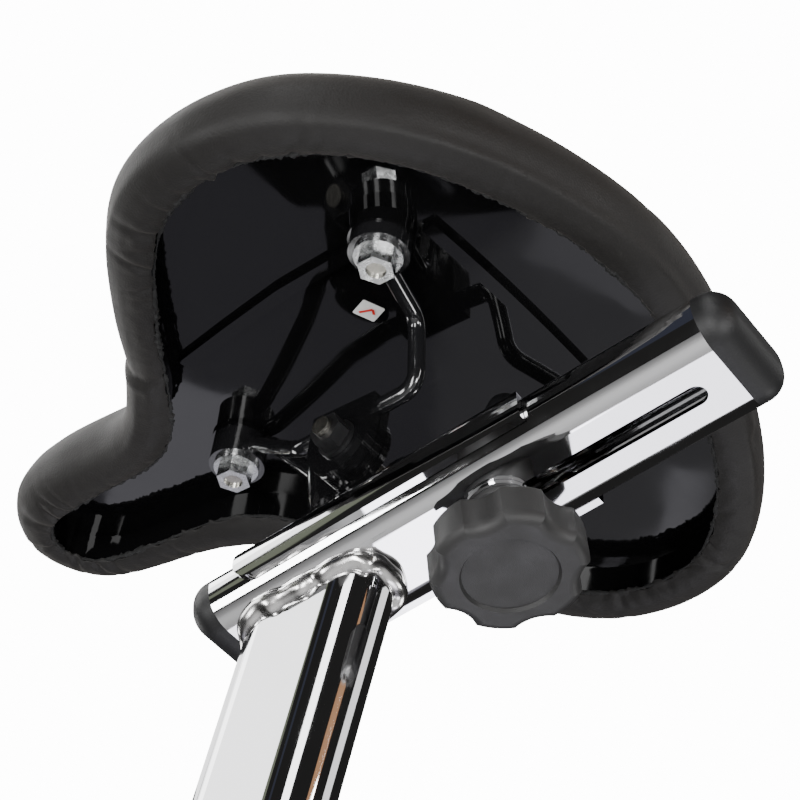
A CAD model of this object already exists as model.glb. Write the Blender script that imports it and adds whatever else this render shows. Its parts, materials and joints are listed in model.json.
"""Looks for the exercise-bike saddle: padding, weld, sticker, materials, light and camera.

All lengths are in metres, in the CAD's frame.  Saddle coordinates are s forward, t left
and h up from the clamp bolt, in the saddle's own tilted frame.
"""

import json
import math

import bpy
import numpy as np
from mathutils import Matrix, Vector


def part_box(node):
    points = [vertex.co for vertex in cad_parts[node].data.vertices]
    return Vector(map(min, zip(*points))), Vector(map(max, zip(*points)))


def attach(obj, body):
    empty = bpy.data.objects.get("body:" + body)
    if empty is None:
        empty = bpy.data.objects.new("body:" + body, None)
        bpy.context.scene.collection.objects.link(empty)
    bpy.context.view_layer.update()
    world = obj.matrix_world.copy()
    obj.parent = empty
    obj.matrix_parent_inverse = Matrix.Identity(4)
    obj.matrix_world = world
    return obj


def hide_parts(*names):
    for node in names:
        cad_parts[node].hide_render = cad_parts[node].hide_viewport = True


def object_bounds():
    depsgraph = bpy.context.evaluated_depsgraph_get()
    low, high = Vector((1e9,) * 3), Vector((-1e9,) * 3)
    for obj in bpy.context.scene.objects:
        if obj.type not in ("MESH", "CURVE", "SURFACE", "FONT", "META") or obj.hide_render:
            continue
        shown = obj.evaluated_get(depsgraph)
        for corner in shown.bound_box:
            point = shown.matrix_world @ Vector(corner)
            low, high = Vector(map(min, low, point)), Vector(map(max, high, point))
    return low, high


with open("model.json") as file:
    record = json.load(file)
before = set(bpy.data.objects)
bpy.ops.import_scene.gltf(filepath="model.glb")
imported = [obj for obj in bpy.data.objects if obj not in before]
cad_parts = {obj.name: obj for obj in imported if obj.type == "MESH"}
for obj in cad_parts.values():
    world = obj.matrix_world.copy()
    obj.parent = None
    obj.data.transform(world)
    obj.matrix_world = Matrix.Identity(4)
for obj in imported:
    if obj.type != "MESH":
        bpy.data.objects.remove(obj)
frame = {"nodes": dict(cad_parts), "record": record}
CAD_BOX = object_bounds()
rng = np.random.default_rng(11)

record = frame["record"]
joints = {joint["name"]: joint for joint in record["behaviour"]["joints"]}
nodes = frame["nodes"]
MM = 0.001

# ------------------------------------------------------------------ the saddle's frame
PIVOT = Vector(joints["saddle_tilt"]["pos_m"])
LEFT = Vector(joints["saddle_tilt"]["axis"]).normalized()
RAIL_DIR = Vector(joints["saddle_fore_aft"]["axis"]).normalized()
RAIL_SLOPE = math.atan(0.08)  # the rails' straight run, nose down from the saddle's own forward
rail_up = RAIL_DIR.cross(LEFT)
FORWARD = RAIL_DIR * math.cos(RAIL_SLOPE) + rail_up * math.sin(RAIL_SLOPE)
UPWARD = FORWARD.cross(LEFT)
# where the post's middle line meets the slider's underside
POST_LEAN = math.radians(20.7)
SLIDER_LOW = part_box("slider_tube")[0].z
HEAD = Vector((-SLIDER_LOW * math.tan(POST_LEAN), 0, SLIDER_LOW))


def saddle_points(s, t, h):
    """Row-frame points from arrays of saddle coordinates in millimetres."""
    s, t, h = (np.asarray(a, float)[..., None] * MM for a in np.broadcast_arrays(s, t, h))
    return np.array(PIVOT) + s * np.array(FORWARD) + t * np.array(LEFT) + h * np.array(UPWARD)


def flat_points(rings):
    """The same from rings of (s, t, h), as one list of points."""
    return saddle_points(rings[..., 0], rings[..., 1], rings[..., 2]).reshape(-1, 3)


# ------------------------------------------------------------------ camera
# fitted to straight edges, round parts and the knob's axis: the picture's right, down and depth
RIGHT_DIR = Vector((-0.80489931, -0.59057233, -0.05797783))
DOWN_DIR = Vector((0.48255828, -0.59454505, -0.64315915))
AWAY_DIR = Vector((0.34536156, -0.54565603, 0.76353447))
CAMERA_FROM_KNOB = Vector((-0.27369, 0.49491, -0.61440))
KNOB_AXIS = HEAD + Vector((-0.0825, 0, 0.0125))

camera_data = bpy.data.cameras.new("camera")
camera = bpy.data.objects.new("camera", camera_data)
bpy.context.scene.collection.objects.link(camera)
turn = Matrix((RIGHT_DIR, -DOWN_DIR, -AWAY_DIR)).transposed().to_4x4()
camera.matrix_world = Matrix.Translation(KNOB_AXIS + CAMERA_FROM_KNOB) @ turn
camera_data.sensor_width = 36
camera_data.lens = 101.08
camera_data.clip_start = 0.05
camera_data.clip_end = 50
bpy.context.scene.camera = camera


# ------------------------------------------------------------------ material helpers
def new_material(name, colour, roughness, metallic=0.0, **sockets):
    """A Principled material with its uniform values on the shader's own sockets."""
    mat = bpy.data.materials.new(name)
    mat.use_nodes = True
    shader = mat.node_tree.nodes["Principled BSDF"]
    shader.inputs["Base Color"].default_value = (*colour, 1)
    shader.inputs["Roughness"].default_value = roughness
    shader.inputs["Metallic"].default_value = metallic
    for key, value in sockets.items():
        shader.inputs[key.replace("_", " ")].default_value = value
    return mat


def add_node(mat, kind, **values):
    """A new node in mat, with its named inputs set."""
    node = mat.node_tree.nodes.new(kind)
    for key, value in values.items():
        node.inputs[key].default_value = value
    return node


def link(mat, out, into):
    """Joins one node's output to another's input."""
    mat.node_tree.links.new(out, into)


def object_coords(mat, scale=(1, 1, 1)):
    """Object coordinates, scaled; objects sit in the row frame, in metres."""
    coords = add_node(mat, "ShaderNodeTexCoord")
    mapping = add_node(mat, "ShaderNodeMapping", Scale=scale)
    link(mat, coords.outputs["Object"], mapping.inputs["Vector"])
    return mapping.outputs["Vector"]


def noise(mat, size, detail=2.0, rough=0.5, distortion=0.0, stretch=(1, 1, 1)):
    """Noise whose largest lumps are about size metres across."""
    node = add_node(mat, "ShaderNodeTexNoise", Scale=1 / size, Detail=detail, Roughness=rough)
    node.inputs["Distortion"].default_value = distortion
    link(mat, object_coords(mat, stretch), node.inputs["Vector"])
    return node.outputs["Fac"]


def ramp(mat, source, low, high, out_low, out_high):
    """Maps low..high of source to out_low..out_high."""
    node = add_node(mat, "ShaderNodeMapRange")
    limits = {"From Min": low, "From Max": high, "To Min": out_low, "To Max": out_high}
    for key, value in limits.items():
        node.inputs[key].default_value = value
    link(mat, source, node.inputs["Value"])
    return node.outputs["Result"]


def bump(mat, height, depth, strength=1.0, under=None):
    """Adds a bump of depth metres to the shader, over an earlier bump if one is given."""
    node = add_node(mat, "ShaderNodeBump", Strength=strength, Distance=depth)
    link(mat, height, node.inputs["Height"])
    if under is not None:
        link(mat, under, node.inputs["Normal"])
    link(mat, node.outputs["Normal"], mat.node_tree.nodes["Principled BSDF"].inputs["Normal"])
    return node.outputs["Normal"]


def drive(mat, source, socket):
    """Feeds source into one of the shader's sockets."""
    link(mat, source, mat.node_tree.nodes["Principled BSDF"].inputs[socket])


# ------------------------------------------------------------------ materials
chrome = new_material("chrome", (0.78, 0.78, 0.79), 0.05, 1.0)
drive(chrome, ramp(chrome, noise(chrome, 0.02, 4), 0.35, 0.75, 0.03, 0.10), "Roughness")
bump(chrome, noise(chrome, 0.03, 1), 0.00006)

weld_chrome = new_material("weld_chrome", (0.72, 0.71, 0.70), 0.12, 1.0)
weld_patches = noise(weld_chrome, 0.006, 3)
drive(weld_chrome, ramp(weld_chrome, weld_patches, 0.3, 0.8, 0.16, 0.34), "Roughness")
bump(weld_chrome, noise(weld_chrome, 0.008, 1), 0.0005, 0.5)

zinc = new_material("zinc", (0.80, 0.81, 0.81), 0.22, 1.0)
drive(zinc, ramp(zinc, noise(zinc, 0.003, 4), 0.3, 0.7, 0.14, 0.38), "Roughness")
bump(zinc, noise(zinc, 0.0012, 3), 0.00008)

thread_steel = new_material("thread_steel", (0.56, 0.54, 0.48), 0.26, 1.0)
bump(thread_steel, noise(thread_steel, 0.002, 3), 0.0001)

black_paint = new_material(
    "black_paint", (0.006, 0.006, 0.0065), 0.09, Coat_Weight=1.0, Coat_Roughness=0.05
)
drive(black_paint, ramp(black_paint, noise(black_paint, 0.01, 4), 0.3, 0.75, 0.05, 0.17), "Roughness")
bump(black_paint, noise(black_paint, 0.004, 3), 0.00015)

black_rail = new_material(
    "black_rail", (0.009, 0.009, 0.010), 0.16, Coat_Weight=1.0, Coat_Roughness=0.08
)
drive(black_rail, ramp(black_rail, noise(black_rail, 0.008, 4), 0.3, 0.75, 0.10, 0.26), "Roughness")
bump(black_rail, noise(black_rail, 0.003, 3), 0.0001)

black_oxide = new_material("black_oxide", (0.05, 0.05, 0.052), 0.30, 0.8)
bump(black_oxide, noise(black_oxide, 0.0015, 3), 0.00008)

pan_gloss = new_material("pan_gloss", (0.0035, 0.0035, 0.0038), 0.035)
drive(pan_gloss, ramp(pan_gloss, noise(pan_gloss, 0.03, 5), 0.35, 0.8, 0.03, 0.10), "Roughness")
bump(pan_gloss, noise(pan_gloss, 0.05, 1), 0.00012)

plastic = new_material("grained_plastic", (0.019, 0.0185, 0.0185), 0.50)
grain = add_node(plastic, "ShaderNodeTexVoronoi", Scale=2600.0)
link(plastic, object_coords(plastic), grain.inputs["Vector"])
bump(plastic, grain.outputs["Distance"], 0.00008, 0.5)
drive(plastic, ramp(plastic, noise(plastic, 0.01, 5), 0.3, 0.75, 0.46, 0.60), "Roughness")

cap_plastic = new_material("cap_plastic", (0.006, 0.006, 0.0065), 0.52)
bump(cap_plastic, noise(cap_plastic, 0.0008, 3), 0.00008)

vinyl = new_material("vinyl", (0.0085, 0.0076, 0.0070), 0.6, Specular_IOR_Level=0.4)
shader = vinyl.node_tree.nodes["Principled BSDF"]
shader.inputs["Sheen Weight"].default_value = 0.10
shader.inputs["Sheen Roughness"].default_value = 0.4
shader.inputs["Sheen Tint"].default_value = (1.0, 0.93, 0.86, 1)
pebble = add_node(vinyl, "ShaderNodeTexVoronoi", Scale=1100.0)
link(vinyl, object_coords(vinyl), pebble.inputs["Vector"])
grain_normal = bump(vinyl, pebble.outputs["Distance"], 0.00018, 0.45)
bump(vinyl, noise(vinyl, 0.05, 3), 0.0006, 0.6, grain_normal)
drive(vinyl, ramp(vinyl, noise(vinyl, 0.02, 5), 0.3, 0.75, 0.54, 0.68), "Roughness")

foam_mat = new_material("foam", (0.012, 0.012, 0.012), 0.75)
bump(foam_mat, noise(foam_mat, 0.0012, 5, 0.7), 0.0008)

paper = new_material("sticker_paper", (0.82, 0.82, 0.80), 0.35)
bump(paper, noise(paper, 0.004, 3), 0.00006)
red_ink = new_material("red_ink", (0.62, 0.03, 0.02), 0.4)
drive(red_ink, ramp(red_ink, noise(red_ink, 0.001, 3), 0.3, 0.8, 0.3, 0.55), "Roughness")

LOOKS = {
    "seat_post": chrome,
    "slider_tube": chrome,
    "slider_carriage": chrome,
    "knob_washer": chrome,
    "front_end_cap": cap_plastic,
    "rear_end_cap": cap_plastic,
    "knob": plastic,
    "stub_post": black_paint,
    "stub_weld": black_paint,
    "clamp_collar": black_paint,
    "clamp_inner_left": black_paint,
    "clamp_inner_right": black_paint,
    "clamp_outer_left": black_paint,
    "clamp_outer_right": black_paint,
    "clamp_bolt": thread_steel,
    "clamp_nut": black_oxide,
    "clamp_washers": black_oxide,
    "lock_bolt": zinc,
    "rail_left": black_rail,
    "rail_right": black_rail,
    "saddle_studs": thread_steel,
    "saddle_nuts": zinc,
    "saddle_pan": pan_gloss,
    "inspection_sticker": paper,
}
BEVEL_ANGLE = math.radians(38)  # edges sharper than this are rounded
BEVELS = {  # how far each node's edges are rounded, in millimetres
    "knob": 0.8,
    "front_end_cap": 0.6,
    "rear_end_cap": 0.6,
    "slider_carriage": 0.6,
    "saddle_pan": 0.6,
    "saddle_nuts": 0.4,
    "clamp_nut": 0.4,
    "clamp_bolt": 0.4,
    "clamp_collar": 0.35,
    "clamp_inner_left": 0.35,
    "clamp_inner_right": 0.35,
    "clamp_outer_left": 0.7,
    "clamp_outer_right": 0.7,
    "clamp_washers": 0.25,
    "knob_washer": 0.3,
    "slider_tube": 0.35,
    "lock_bolt": 0.3,
    "rail_left": 0.8,
    "rail_right": 0.8,
}
for name, mat in LOOKS.items():
    node = nodes[name]
    for slot in node.material_slots:
        slot.material = mat
    if name in BEVELS:
        bevel = node.modifiers.new("edge", "BEVEL")
        bevel.width = BEVELS[name] * MM
        bevel.segments = 3
        bevel.limit_method = "ANGLE"
        bevel.angle_limit = BEVEL_ANGLE
        bevel.harden_normals = True


def mesh_object(name, verts, faces, mats, smooth=True):
    """A mesh object from row-frame points."""
    mesh = bpy.data.meshes.new(name)
    mesh.from_pydata([tuple(v) for v in verts], [], faces)
    for mat in mats:
        mesh.materials.append(mat)
    mesh.update()
    if smooth:
        mesh.polygons.foreach_set("use_smooth", [True] * len(mesh.polygons))
    obj = bpy.data.objects.new(name, mesh)
    bpy.context.scene.collection.objects.link(obj)
    return obj


def grid_faces(rows, cols, first=0):
    """Quads of a grid that closes on itself along its columns' direction."""
    faces = []
    for r in range(rows - 1):
        for c in range(cols):
            d = (c + 1) % cols
            low, high = first + r * cols, first + (r + 1) * cols
            faces.append((low + c, low + d, high + d, high + c))
    return faces


# ------------------------------------------------------------------ padding
# half of the pan's outline and, for each point, where the saddle's middle line serves it
HALF_OUTLINE = np.array(
    [(198, 0), (189, 16), (164, 22), (122, 24), (101, 31), (82, 49), (52, 86), (18, 120),
     (-10, 138), (-40, 142), (-68, 132), (-94, 101), (-113, 52), (-121, 0)], float
)
SPINE_S = np.array([182, 178, 160, 120, 96, 66, 25, -12, -35, -50, -62, -72, -78, -80], float)
DROOP = 0.00081  # how the saddle falls away to its sides, per millimetre squared
HEM = 39.8  # the hem's height above the clamp bolt, at the middle
PAN_TOP = 60.2  # where the padding rests on the pan
WING_T = 138  # the widest part of the wings
NECK_S = 105  # where the wings run into the nose
SPLINE_STEPS = 40
AROUND = 200  # points round each ring


def catmull_rom(p0, p1, p2, p3, u):
    """The point at u, from 0 to 1, of a Catmull-Rom curve between p1 and p2."""
    square = 2 * p0 - 5 * p1 + 4 * p2 - p3
    cube = 3 * p1 - p0 - 3 * p2 + p3
    return 0.5 * (2 * p1 + (p2 - p0) * u + square * u**2 + cube * u**3)


def closed_spline(points, count):
    """Points evenly spaced by length along a closed Catmull-Rom curve through points."""
    points = np.asarray(points, float)
    n = len(points)
    u = np.linspace(0, 1, SPLINE_STEPS, endpoint=False)[:, None]
    dense = np.vstack(
        [catmull_rom(*(points[(i + k) % n] for k in (-1, 0, 1, 2)), u) for i in range(n)]
    )
    closed = np.vstack([dense, dense[:1]])
    gaps = np.linalg.norm(np.diff(closed[:, :2], axis=0), axis=1)
    length = np.concatenate([[0], np.cumsum(gaps)])
    wanted = np.linspace(0, length[-1], count, endpoint=False)
    cols = [np.interp(wanted, length, closed[:, k]) for k in range(points.shape[1])]
    return np.stack(cols, axis=1), length[-1]


def outward_of(points):
    """Unit vectors pointing out of a closed outline, at each of its points."""
    tangent = np.roll(points, -1, axis=0) - np.roll(points, 1, axis=0)
    tangent /= np.linalg.norm(tangent, axis=1)[:, None]
    return np.column_stack([tangent[:, 1], -tangent[:, 0]])


half = np.column_stack([HALF_OUTLINE, SPINE_S])
whole = np.vstack([half, half[-2:0:-1] * (1, -1, 1)])
outline, PERIMETER = closed_spline(whole, AROUND)
rim = outline[:, :2]
spine = np.column_stack([outline[:, 2], np.zeros(AROUND)])
outward = outward_of(rim)

# section of the padding: out from the pan's outline and up from the hem, in millimetres
SECTION = [
    (-2.4, 1.2), (-2.7, 0.4), (-2.0, -0.3), (0.7, -0.7), (4.2, -0.3), (7.9, 1.1),
    (11.2, 3.6), (13.9, 7.2), (15.6, 11.8), (16.3, 17.0), (15.0, 22.5), (12.2, 28.5),
    (7.6, 34.5), (1.2, 40.5), (-6.5, 46.0), (-15.0, 51.0), (-24.0, 55.0),
]
HEM_TURN = 1.5  # the section stays square to the outline below this
TOP_STEPS = 8
# the padding's underside, where it wraps the pan's edge
UNDER = [(3.5, 0.9), (3.6, 3.0), (3.7, 10.0), (3.6, 17.5), (1.5, 20.3)]
UNDER_STEPS = 3


def drop(t):
    """How far the saddle has fallen away at t from its middle."""
    return DROOP * t * t


def crown(s):
    """Height of the saddle's top along its middle, above the clamp bolt."""
    return np.interp(s, [-80, -40, 20, 90, 150, 182], [97, 95.5, 93, 94, 95, 92])


def section_ring(out, up, square=False):
    """One ring of the padding, square to the outline or in towards the middle line."""
    if out >= 0 or square:
        plan = rim + outward * out
    else:
        inward = spine - rim
        reach = np.linalg.norm(inward, axis=1)[:, None]
        plan = rim + inward / reach * reach * (1 - np.exp(out / reach))
    return np.column_stack([plan, HEM - drop(rim[:, 1]) + up])


def build_rings():
    """Rings of (s, t, h) from the hem's free edge to the middle line of the top."""
    rings = [section_ring(out, up, square=up < HEM_TURN) for out, up in SECTION]
    shoulder = rings[-1]
    ridge = np.column_stack([spine, crown(spine[:, 0])])
    for k in range(1, TOP_STEPS + 1):
        w = k / TOP_STEPS
        ring = shoulder * (1 - w) + ridge * w
        swell = 3.2 * math.sin(math.pi * w) * (1 - w)
        rise = (ridge[:, 2] - shoulder[:, 2]) * (1 - (1 - w) ** 1.7)
        ring[:, 2] = shoulder[:, 2] + rise + swell
        rings.append(ring)
    return rings


outer = np.array(build_rings())
# how far each ring of the skirt is let out and down, from the hem's edge to the shoulder
LET_OUT = np.interp(range(len(outer)), [2, 4, 7, 12, 17], [0, 0.5, 1, 0.8, 0])[:, None]
on_wing = np.exp(-(((np.abs(rim[:, 1]) - WING_T) / 42) ** 2))[None, :]
at_neck = np.exp(-(((rim[:, 0] - NECK_S) / 34) ** 2))[None, :] * (np.abs(rim[:, 1]) < 60)
outer[..., :2] += (LET_OUT * (1.8 * on_wing + 2.0 * at_neck))[..., None] * outward[None]
outer[..., 2] -= LET_OUT * (4.5 * on_wing + 7.0 * at_neck)
under = [section_ring(out, up) for out, up in UNDER]
shelf = under[-1]
middle_line = np.column_stack([spine, np.full(AROUND, PAN_TOP)])
for k in range(1, UNDER_STEPS + 1):
    w = k / UNDER_STEPS
    ring = shelf * (1 - w) + middle_line * w
    ring[:, 2] = PAN_TOP - drop(ring[:, 1])
    under.append(ring)
under = np.array(under)


def smooth_rows(rings, factor):
    """Cubic refinement of a stack of rings, along the section and around."""

    def refine(data, axis, closed):
        n = data.shape[axis]
        idx = np.arange(n if closed else n - 1)

        def pick(k):
            at = (idx + k) % n if closed else np.clip(idx + k, 0, n - 1)
            return np.take(data, at, axis)

        corners = [pick(k) for k in (-1, 0, 1, 2)]
        parts = [catmull_rom(*corners, j / factor) for j in range(factor)]
        out = np.stack(parts, axis + 1)
        shape = list(data.shape)
        shape[axis] = len(idx) * factor
        out = out.reshape(shape)
        if not closed:
            out = np.concatenate([out, np.take(data, [n - 1], axis)], axis)
        return out

    return refine(refine(rings, 0, False), 1, True)


CLOTH_FRAMES = 20
FIXED_RINGS = 5  # the hem's rings, which the cloth can't move
MOST_SHIFT = 1.6  # how far the cloth may move a point, in millimetres
SLACK = 0.6  # how far the cover starts below its final height


def puff(rings, fixed, cap):
    """Cloth under pressure on the closed padding; returns the rings moved by at most cap."""
    n_out = len(rings)
    stack = np.concatenate([rings, under])
    pts = flat_points(stack)
    faces = grid_faces(n_out, AROUND)
    faces += [f[::-1] for f in grid_faces(len(under), AROUND, n_out * AROUND)]
    first = n_out * AROUND
    faces += [(c, first + c, first + (c + 1) % AROUND, (c + 1) % AROUND) for c in range(AROUND)]
    body = mesh_object("puff", pts, faces, [])
    pins = body.vertex_groups.new(name="pins")
    free = set(range(fixed * AROUND, n_out * AROUND))
    pins.add([i for i in range(len(pts)) if i not in free], 1.0, "REPLACE")
    pins.add(list(range(fixed * AROUND, (fixed + 2) * AROUND)), 0.6, "REPLACE")
    cloth = body.modifiers.new("cloth", "CLOTH")
    cloth.settings.use_pressure = True
    cloth.settings.uniform_pressure_force = 4
    cloth.settings.effector_weights.gravity = 0
    cloth.settings.vertex_group_mass = "pins"
    cloth.settings.quality = 5
    cloth.settings.tension_stiffness = 25
    cloth.settings.bending_stiffness = 0.6
    scene = bpy.context.scene
    for step in range(1, CLOTH_FRAMES + 1):
        scene.frame_set(step)
    graph = bpy.context.evaluated_depsgraph_get()
    seen = body.evaluated_get(graph)
    moved = np.array([tuple(v.co) for v in seen.data.vertices])
    scene.frame_set(1)
    bpy.data.objects.remove(body)
    shift = (moved - pts) / MM
    size = np.linalg.norm(shift, axis=1)[:, None]
    shift *= np.minimum(1, cap / np.maximum(size, 1e-9))
    axes = np.array([FORWARD, LEFT, UPWARD])
    local = (shift @ axes.T).reshape(stack.shape)[:n_out]
    return rings + local


slim = outer.copy()
slim[FIXED_RINGS + 1 :] -= np.array([0, 0, SLACK])
outer = puff(slim, FIXED_RINGS, MOST_SHIFT)

FINE = 4  # how many times finer the drawn rings are
fine = smooth_rows(outer, FINE)
rows, cols = fine.shape[:2]
arc = np.arange(cols) / cols * PERIMETER
along = np.arange(rows) / FINE


def pull_strength():
    """How strongly the cover is gathered round the rim: most at the wings and the nose."""
    rim_arc = np.arange(AROUND) / AROUND * PERIMETER
    s_rim = np.interp(arc, rim_arc, rim[:, 0])
    t_rim = np.interp(arc, rim_arc, rim[:, 1])
    wing = np.exp(-(((np.abs(t_rim) - WING_T) / 34) ** 2))
    nose = np.exp(-(((s_rim - 190) / 45) ** 2))
    return 0.22 + 0.75 * np.maximum(wing, nose)


def pleats():
    """Gathers of the cover where it is pulled round the rim, deepest just outside it."""
    depth = np.zeros((rows, cols))
    fade = np.interp(along, [0, 1.5, 2.5, 3.5, 4.7, 6.0, 7.5], [0.35, 0.8, 1.0, 0.75, 0.3, 0.07, 0])
    pull = pull_strength()
    at = 0.0
    while at < PERIMETER:
        strength = rng.uniform(0.25, 1.15) ** 1.3
        width = rng.uniform(0.9, 2.2)
        slant = rng.normal(0, 1.1)
        reach = rng.uniform(0.6, 1.5)
        centre = at + slant * (along - 3)
        gap = (arc[None, :] - centre[:, None] + PERIMETER / 2) % PERIMETER - PERIMETER / 2
        groove = np.exp(-((gap / width) ** 2))
        ridges = np.exp(-(((np.abs(gap) - 2.2 * width) / (1.6 * width)) ** 2))
        shape = groove - 0.35 * ridges
        depth -= strength * shape * np.interp(along / reach, along, fade)[:, None] * pull[None, :]
        at += rng.uniform(3.5, 14.0)
    return depth


def lumps(cell_rows, cell_cols, size):
    """Smooth random heights over the fine grid, wrapping round."""
    coarse = rng.normal(0, size, (cell_rows, cell_cols))
    rr = np.linspace(0, cell_rows - 1, rows)
    cc = np.arange(cols) / cols * cell_cols
    r0 = np.clip(rr.astype(int), 0, cell_rows - 2)
    c0 = cc.astype(int) % cell_cols
    fr, fc = (rr - r0)[:, None], (cc - cc.astype(int))[None, :]
    fr, fc = fr * fr * (3 - 2 * fr), fc * fc * (3 - 2 * fc)
    c1 = (c0 + 1) % cell_cols
    top = coarse[r0][:, c0] * (1 - fc) + coarse[r0][:, c1] * fc
    low = coarse[r0 + 1][:, c0] * (1 - fc) + coarse[r0 + 1][:, c1] * fc
    return top * (1 - fr) + low * fr


def normals(grid):
    """Outward unit normals of a fine grid of rings."""
    down = np.gradient(grid, axis=0)
    round_ = np.roll(grid, -1, axis=1) - np.roll(grid, 1, axis=1)
    n = np.cross(round_, down)
    n /= np.maximum(np.linalg.norm(n, axis=2), 1e-9)[..., None]
    middle = np.array([0, 0, 55.0])  # a point inside the padding
    if np.sum(n * (grid - middle)) < 0:
        n = -n
    return n


surface_normals = normals(fine)
relief = pleats() + lumps(8, 26, 0.14)
relief += lumps(30, 260, 0.14) * np.interp(along, [0, 3, 6], [1, 0.8, 0])[:, None]
fine = fine + surface_normals * relief[..., None]
# the hem's first rings wander in and out
RAGGED_ROWS = FINE * 2
ragged = lumps(4, 420, 0.9) + lumps(4, 130, 0.7)
outward_fine = smooth_rows(np.repeat(outward[None], 2, axis=0), FINE)[0]
for row in range(RAGGED_ROWS):
    pull = (ragged[0] * (1 - row / RAGGED_ROWS))[:, None]
    fine[row, :, :2] += outward_fine * pull

cover_points = flat_points(fine)
under_fine = smooth_rows(under, FINE)
under_points = flat_points(under_fine)
n_cover = rows * cols
faces = grid_faces(rows, cols)
n_vinyl = len(faces)
faces += [f[::-1] for f in grid_faces(len(under_fine), cols, n_cover)]
faces += [(c, n_cover + c, n_cover + (c + 1) % cols, (c + 1) % cols) for c in range(cols)]
all_points = np.vstack([cover_points, under_points])
padding = mesh_object("saddle_padding", all_points, faces, [vinyl, foam_mat])
which = [0] * n_vinyl + [1] * (len(faces) - n_vinyl)
padding.data.polygons.foreach_set("material_index", which)
bpy.context.view_layer.objects.active = padding
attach(padding, "saddle")
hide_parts("saddle_cover", "saddle_foam")

# ------------------------------------------------------------------ torn foam at the hem
LINING_SIDES = 8
LINING_ROWS = 900
LINING_OUT = -2.9  # the edge's middle, from the pan's outline
LINING_UP = 0.9  # and above the hem
lining_rim = closed_spline(whole, LINING_ROWS)[0][:, :2]
lining_outward = outward_of(lining_rim)
# fast and slow changes of thickness; the middle third of a longer run has no end effects
rough = rng.normal(0, 1, LINING_ROWS * 3)
wobble = np.convolve(rough, np.ones(3) / 3, "same")[LINING_ROWS : 2 * LINING_ROWS]
slow_at = np.linspace(0, LINING_ROWS, 60)
slow = np.interp(np.arange(LINING_ROWS), slow_at, rng.uniform(0.35, 1.5, 60))
rings = []
for k in range(LINING_SIDES):
    a = 2 * math.pi * k / LINING_SIDES
    fray = 0.25 * rng.normal(0, 1, LINING_ROWS)
    radius = np.maximum(0.25, slow * (0.8 + 0.35 * wobble + fray))
    out = LINING_OUT + radius * math.cos(a) * 1.1
    plan = lining_rim + lining_outward * out[:, None]
    height = HEM - drop(lining_rim[:, 1]) + LINING_UP + radius * math.sin(a)
    rings.append(np.column_stack([plan, height]))
lining_points = flat_points(np.array(rings))
faces = []
for k in range(LINING_SIDES):
    near, far = k * LINING_ROWS, (k + 1) % LINING_SIDES * LINING_ROWS
    for c in range(LINING_ROWS):
        d = (c + 1) % LINING_ROWS
        faces.append((near + c, near + d, far + d, far + c))
lining = mesh_object("hem_edge", lining_points, faces, [foam_mat])
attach(lining, "saddle")

# ------------------------------------------------------------------ weld bead
WELD_ROUND = 260
WELD_SIDES = 14
POST_HALF = 0.030 / math.cos(POST_LEAN)  # half its length where it meets the slider
POST_SIDE = 0.015  # half its width, and the radius of its ends


def post_outline(count):
    """Points and outward directions round the post where it meets the slider."""
    straight = 2 * (POST_HALF - POST_SIDE)
    total = 2 * straight + 2 * math.pi * POST_SIDE
    for i in range(count):
        d = total * i / count
        if d < straight:
            yield Vector((-straight / 2 + d, POST_SIDE, 0)), Vector((0, 1, 0))
        elif d < straight + math.pi * POST_SIDE:
            a = math.pi / 2 - (d - straight) / POST_SIDE
            way = Vector((math.cos(a), math.sin(a), 0))
            yield Vector((straight / 2, 0, 0)) + way * POST_SIDE, way
        elif d < 2 * straight + math.pi * POST_SIDE:
            e = d - straight - math.pi * POST_SIDE
            yield Vector((straight / 2 - e, -POST_SIDE, 0)), Vector((0, -1, 0))
        else:
            a = -math.pi / 2 - (d - 2 * straight - math.pi * POST_SIDE) / POST_SIDE
            way = Vector((math.cos(a), math.sin(a), 0))
            yield Vector((-straight / 2, 0, 0)) + way * POST_SIDE, way


# how many waves go round the bead, and how large each is
WELD_WAVES = [(4, 0.36), (7, 0.40), (12, 0.30), (19, 0.12)]
weld_phases = rng.uniform(0, 2 * math.pi, (4, len(WELD_WAVES)))


def weld_wave(kind, i):
    """A smooth wandering value between about -1 and 1, round the bead."""
    angle = 2 * math.pi * i / WELD_ROUND
    waves = zip(WELD_WAVES, weld_phases[kind])
    return sum(size * math.sin(n * angle + phase) for (n, size), phase in waves)


weld_verts = []
for i, (point, way) in enumerate(post_outline(WELD_ROUND)):
    size = 0.0040 + 0.0008 * weld_wave(0, i)
    centre = HEAD + point + way * (0.0004 + 0.0006 * weld_wave(1, i))
    centre.z -= 0.0016 + 0.0010 * weld_wave(2, i)
    centre.x += math.tan(POST_LEAN) * (HEAD.z - centre.z)
    for k in range(WELD_SIDES):
        a = 2 * math.pi * k / WELD_SIDES
        lump = size * (1 + 0.07 * math.sin(2 * a + 2 * weld_wave(3, i)))
        weld_verts.append(centre + way * math.cos(a) * lump + Vector((0, 0, math.sin(a) * lump)))
faces = []
for i in range(WELD_ROUND):
    here, there = i * WELD_SIDES, (i + 1) % WELD_ROUND * WELD_SIDES
    for k in range(WELD_SIDES):
        m = (k + 1) % WELD_SIDES
        faces.append((here + k, there + k, there + m, here + m))
bead = mesh_object("weld_bead", weld_verts, faces, [weld_chrome])
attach(bead, "post")
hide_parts("post_weld")

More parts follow.
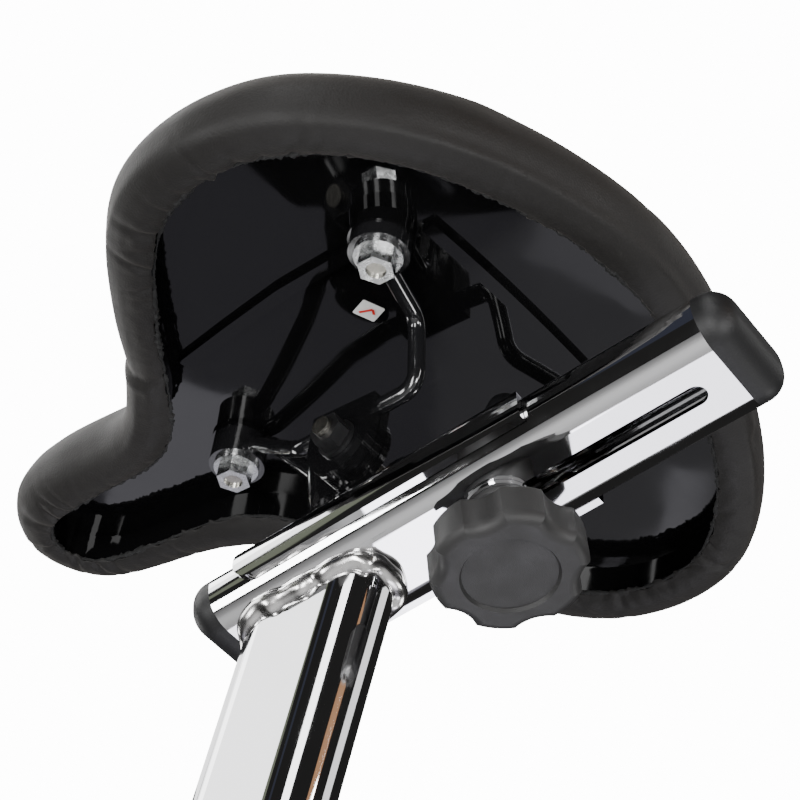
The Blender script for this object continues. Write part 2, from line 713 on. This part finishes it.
# ------------------------------------------------------------------ tick on the sticker
low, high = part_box("inspection_sticker")
sticker_middle = (low + high) / 2
TICK = [(-2.6, 0.2), (-0.8, -2.0), (2.9, 2.6)]  # right and up on the sticker, in millimetres
TICK_HALF = 0.55  # half the stroke's width
TICK_TURN = 0.35  # the tick's turn on the sticker, in radians
TICK_LIFT = 0.00055  # above the sticker's middle
face_out = -UPWARD
tick_right = (LEFT * math.cos(TICK_TURN) + FORWARD * math.sin(TICK_TURN)).normalized()
tick_up = face_out.cross(tick_right)
verts, faces = [], []
for (x0, y0), (x1, y1) in zip(TICK, TICK[1:]):
    length = math.hypot(x1 - x0, y1 - y0)
    nx, ny = -(y1 - y0) / length * TICK_HALF, (x1 - x0) / length * TICK_HALF
    base = len(verts)
    corners = (x0 + nx, y0 + ny), (x1 + nx, y1 + ny), (x1 - nx, y1 - ny), (x0 - nx, y0 - ny)
    for x, y in corners:
        on_face = (tick_right * x + tick_up * y) * MM
        verts.append(sticker_middle + on_face + face_out * TICK_LIFT)
    faces.append((base, base + 1, base + 2, base + 3))
tick = mesh_object("sticker_tick", verts, faces, [red_ink], smooth=False)
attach(tick, "saddle")

# ------------------------------------------------------------------ floor and light
centre = (CAD_BOX[0] + CAD_BOX[1]) / 2
floor_mat = new_material("floor", (0.86, 0.86, 0.86), 0.7)
drive(floor_mat, ramp(floor_mat, noise(floor_mat, 0.4, 2), 0.3, 0.7, 0.65, 0.75), "Roughness")
HALF_FLOOR = 2.3
FLOOR_Z = -1.6
floor_corners = [
    (centre.x + x * HALF_FLOOR, centre.y + y * HALF_FLOOR, FLOOR_Z)
    for x, y in ((-1, -1), (1, -1), (1, 1), (-1, 1))
]
floor = mesh_object("floor", floor_corners, [(0, 1, 2, 3)], [floor_mat], smooth=False)

BACKDROP = 14.0  # the sky's strength where the camera sees it
ROOM = 0.02  # and as light on the object
world = bpy.data.worlds.new("studio")
bpy.context.scene.world = world
world.use_nodes = True
tree = world.node_tree
tree.nodes.clear()
sky_out = tree.nodes.new("ShaderNodeOutputWorld")
seen = tree.nodes.new("ShaderNodeBackground")
seen.inputs["Color"].default_value = (1, 1, 1, 1)
seen.inputs["Strength"].default_value = BACKDROP
room = tree.nodes.new("ShaderNodeBackground")
room.inputs["Color"].default_value = (1, 0.98, 0.96, 1)
room.inputs["Strength"].default_value = ROOM
path = tree.nodes.new("ShaderNodeLightPath")
choose = tree.nodes.new("ShaderNodeMixShader")
tree.links.new(path.outputs["Is Camera Ray"], choose.inputs["Fac"])
tree.links.new(room.outputs[0], choose.inputs[1])
tree.links.new(seen.outputs[0], choose.inputs[2])
tree.links.new(choose.outputs[0], sky_out.inputs["Surface"])


def softbox(name, towards, distance, width, height, power, colour=(1, 1, 1), upright=(0, 0, 1)):
    """An area light seen from the object in the direction towards, facing it."""
    data = bpy.data.lights.new(name, "AREA")
    data.shape = "RECTANGLE"
    data.size, data.size_y = width, height
    data.energy = power
    data.color = colour
    obj = bpy.data.objects.new(name, data)
    way = Vector(towards).normalized()
    side = Vector(upright).cross(way).normalized()
    up = way.cross(side)
    facing = Matrix((side, up, way)).transposed().to_4x4()
    obj.matrix_world = Matrix.Translation(centre + way * distance) @ facing
    obj.visible_camera = False
    bpy.context.scene.collection.objects.link(obj)
    return obj


# the flat side of the post mirrors these
softbox("key", (0.62, 0.48, 0.69), 1.9, 0.85, 1.5, 13)
softbox("key_core", (0.62, 0.46, 0.69), 1.8, 0.42, 1.2, 3.5)
softbox("olive", (0.36, 0.66, 0.66), 1.9, 0.20, 1.6, 0.30, (0.62, 0.68, 0.50))
softbox("navy", (0.14, 0.76, 0.63), 1.9, 0.18, 1.6, 0.05, (0.35, 0.42, 0.75))
# and its rounded edge these
softbox("strip", (-0.42, 0.74, 0.52), 1.8, 0.55, 1.5, 13)
softbox("copper", (-0.93, 0.05, 0.30), 1.8, 0.50, 1.4, 1.2, (1.0, 0.52, 0.26))
softbox("rear", (-0.72, -0.62, 0.42), 2.0, 0.8, 1.2, 4.5)
# overhead and in front, for the other views and the nose
softbox("ceiling", (0.42, -0.08, 0.90), 2.0, 1.5, 1.5, 18)
softbox("front", (0.95, -0.10, 0.30), 2.0, 0.6, 1.0, 9)
# under the saddle, on the camera's side: streaks on the gloss paint
softbox("low_left", (0.45, 0.85, -0.25), 1.9, 0.36, 0.9, 15)
softbox("low_near", (-0.75, 0.25, -0.60), 1.6, 0.35, 0.35, 11)
softbox("low_far", (-0.25, -0.80, -0.45), 2.0, 0.25, 0.8, 8)
softbox("low_side", (-0.20, 0.95, -0.55), 1.7, 0.36, 1.0, 22)
softbox("low_tail", (-0.95, 0.05, -0.20), 1.7, 0.14, 1.0, 8)
# a dim panel that the pan mirrors, with brighter patches in front of it for the pan and
# the slider: how far across and up each sits, its size and its radiance
PATCH_DISTANCE = 1.45
PATCH_COLOUR = (0.92, 0.91, 1.0)
PAN_WAY = Vector((0.65, -0.56, -0.40)).normalized()
PAN_SIDE = Vector((0, 0, 1)).cross(PAN_WAY).normalized()
PAN_UP = PAN_WAY.cross(PAN_SIDE)
softbox("pan_sheen", PAN_WAY, 1.5, 1.1, 0.94, 1.0, (0.88, 0.86, 1.0))
for name, across, up, width, height, radiance in (
    ("pan_glow_nose", 0.16, 0.14, 0.16, 0.14, 1.0),
    ("pan_glow_right", -0.22, -0.22, 0.10, 0.16, 0.5),
    ("pan_glow_tail", 0.09, -0.40, 0.20, 0.05, 1.2),
    ("slider_fill", -0.45, -0.76, 0.86, 0.58, 3.4),
    ("slider_gleam", -0.30, -0.74, 0.30, 0.50, 3.0),
):
    way = PAN_WAY * PATCH_DISTANCE + PAN_SIDE * across + PAN_UP * up
    power = radiance * math.pi * width * height
    softbox(name, way, way.length, width, height, power, PATCH_COLOUR)
# lights the floor alone, from a metre above it
WASH_HEIGHT = 1.0
wash = softbox("floor_wash", (0, 0, 1), 1.0, 3.4, 3.4, 640, (1.0, 0.985, 0.965))
wash.location.z = FLOOR_Z + WASH_HEIGHT
